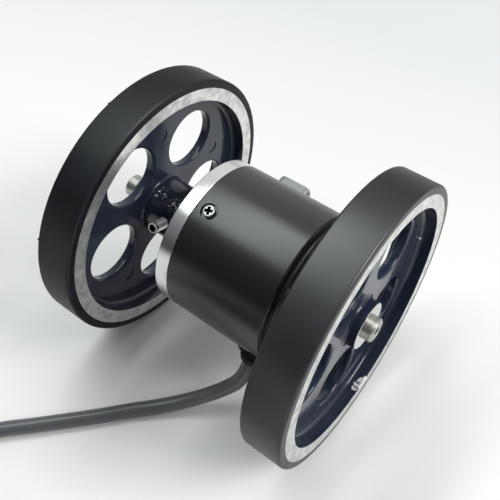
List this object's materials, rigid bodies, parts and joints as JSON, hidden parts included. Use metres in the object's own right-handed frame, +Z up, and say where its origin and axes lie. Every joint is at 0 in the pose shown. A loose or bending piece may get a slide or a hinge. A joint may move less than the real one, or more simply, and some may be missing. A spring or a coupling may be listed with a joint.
{
  "type": "encoder measuring wheel",
  "caption": "Length-measuring rotary encoder: a round black body with a through shaft, a rubber-tyred wheel fixed at each end of it, a mounting pad and a grey signal cable.",
  "frame": {"origin": "on the floor midway under the part, centred on its box without the cable", "axes": "+Z up; X along the shaft towards the wheel beside the cable bush; +Y towards the mounting pad"},
  "size_m": [0.1035, 0.2118, 0.0955],
  "materials": {
    "shaft_steel": "satin",
    "bare_steel": "satin",
    "bearing_steel": "polished",
    "blackened_steel": "satin",
    "wheel_casting": "gloss",
    "tyre_rubber": "matte",
    "turned_aluminium": "satin",
    "black_cover": "satin",
    "seal_rubber": "matte",
    "brass": "satin",
    "clear_glass": "gloss",
    "board_green": "satin",
    "black_plastic": "matte",
    "white_plastic": "matte",
    "bush_plastic": "satin",
    "grey_sheath": "satin",
    "lead_brown": "satin",
    "lead_blue": "satin",
    "lead_black": "satin",
    "lead_white": "satin",
    "lead_orange": "satin"
  },
  "bodies": {
    "encoder_body": {"front_bearing_outer_ring": "bearing_steel", "rear_bearing_outer_ring": "bearing_steel", "front_housing": "turned_aluminium", "cover": "black_cover", "cover_screw_1": "bare_steel", "cover_screw_2": "bare_steel", "cover_screw_3": "bare_steel", "shaft_seal": "seal_rubber", "circuit_board": "board_green", "board_post_1": "brass", "board_post_2": "brass", "board_post_3": "brass", "board_screw_1": "bare_steel", "board_screw_2": "bare_steel", "board_screw_3": "bare_steel", "sensor_block": "black_plastic", "light_receiver": "black_plastic", "lamp": "clear_glass", "board_connector": "white_plastic", "cable_bush": "bush_plastic", "cable": "grey_sheath", "cable_coil": "grey_sheath", "lead_brown": "lead_brown", "lead_blue": "lead_blue", "lead_black": "lead_black", "lead_white": "lead_white", "lead_orange": "lead_orange"},
    "rotor": {"shaft": "shaft_steel", "wheel_left": "wheel_casting", "wheel_right": "wheel_casting", "tyre_left": "tyre_rubber", "tyre_right": "tyre_rubber", "wheel_screw_left": "bare_steel", "wheel_screw_right": "bare_steel", "front_bearing_inner_ring": "bearing_steel", "rear_bearing_inner_ring": "bearing_steel", "bearing_spacer": "bare_steel", "front_shaft_clip": "blackened_steel", "rear_shaft_clip": "blackened_steel", "disc_hub": "brass", "disc_hub_screw": "blackened_steel", "code_disc": "clear_glass"},
    "bearing_cages": {"front_bearing_cage_and_balls": "bearing_steel", "rear_bearing_cage_and_balls": "bearing_steel"}
  },
  "joints": [
    {"name": "rotor_spin", "type": "hinge", "parent": "encoder_body", "child": "rotor", "pos_m": [0, 0, 0.04775], "axis": [1, 0, 0], "continuous": true},
    {"name": "cage_spin", "type": "hinge", "parent": "encoder_body", "child": "bearing_cages", "pos_m": [0, 0, 0.04775], "axis": [1, 0, 0], "continuous": true}
  ],
  "couplings": [
    {"joint": "cage_spin", "follows": "rotor_spin", "ratio": 0.3677}
  ]
}
